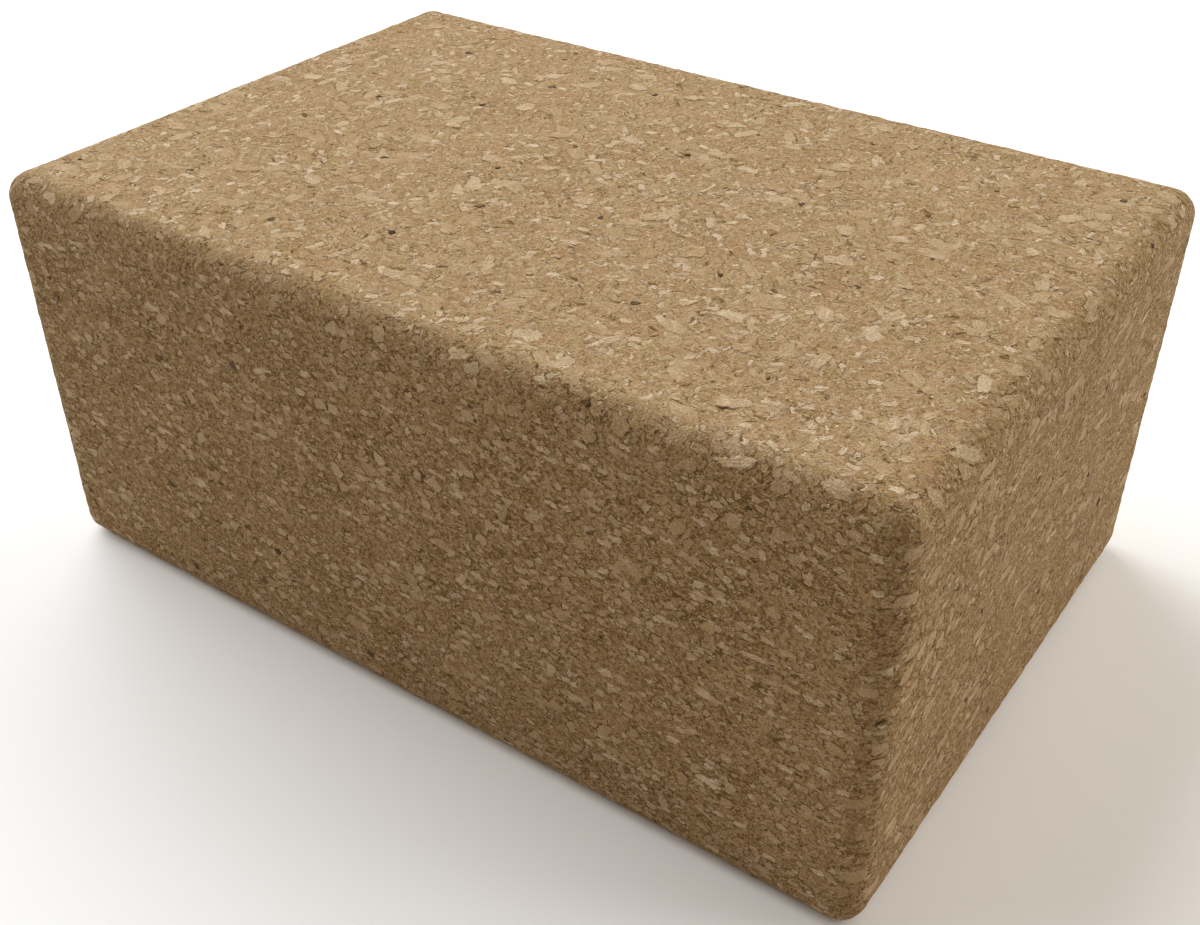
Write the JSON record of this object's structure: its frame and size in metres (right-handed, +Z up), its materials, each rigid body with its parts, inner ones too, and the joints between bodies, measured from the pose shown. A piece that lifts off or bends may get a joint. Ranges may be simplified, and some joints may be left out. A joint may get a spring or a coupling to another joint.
{
  "type": "yoga block",
  "caption": "Rectangular block of pressed cork granules with rounded edges, laid flat, on its side or on end to raise a hand, foot or seat in floor exercise.",
  "frame": {"origin": "centre of the base, the large face that the block lies on", "axes": "+X along the length, +Y along the width towards the back, +Z up through the height"},
  "size_m": [0.2286, 0.1524, 0.1016],
  "materials": {
    "fine_cork": "matt sawn and sanded cork agglomerate, fine granules in a thin binder",
    "pale_cork": "matt sanded cork, pale smooth flake",
    "cork_bark": "matt dark outer bark, slightly rough"
  },
  "bodies": {
    "root": {"cork_body": "fine_cork", "pale_granules_top": "pale_cork", "pale_granules_bottom": "pale_cork", "pale_granules_front": "pale_cork", "pale_granules_back": "pale_cork", "pale_granules_left": "pale_cork", "pale_granules_right": "pale_cork", "pale_granules_top_edges": "pale_cork", "pale_granules_bottom_edges": "pale_cork", "pale_granules_upright_edges": "pale_cork", "bark_granules_top": "cork_bark", "bark_granules_bottom": "cork_bark", "bark_granules_front": "cork_bark", "bark_granules_back": "cork_bark", "bark_granules_left": "cork_bark", "bark_granules_right": "cork_bark", "bark_granules_top_edges": "cork_bark", "bark_granules_bottom_edges": "cork_bark", "bark_granules_upright_edges": "cork_bark"}
  },
  "joints": []
}
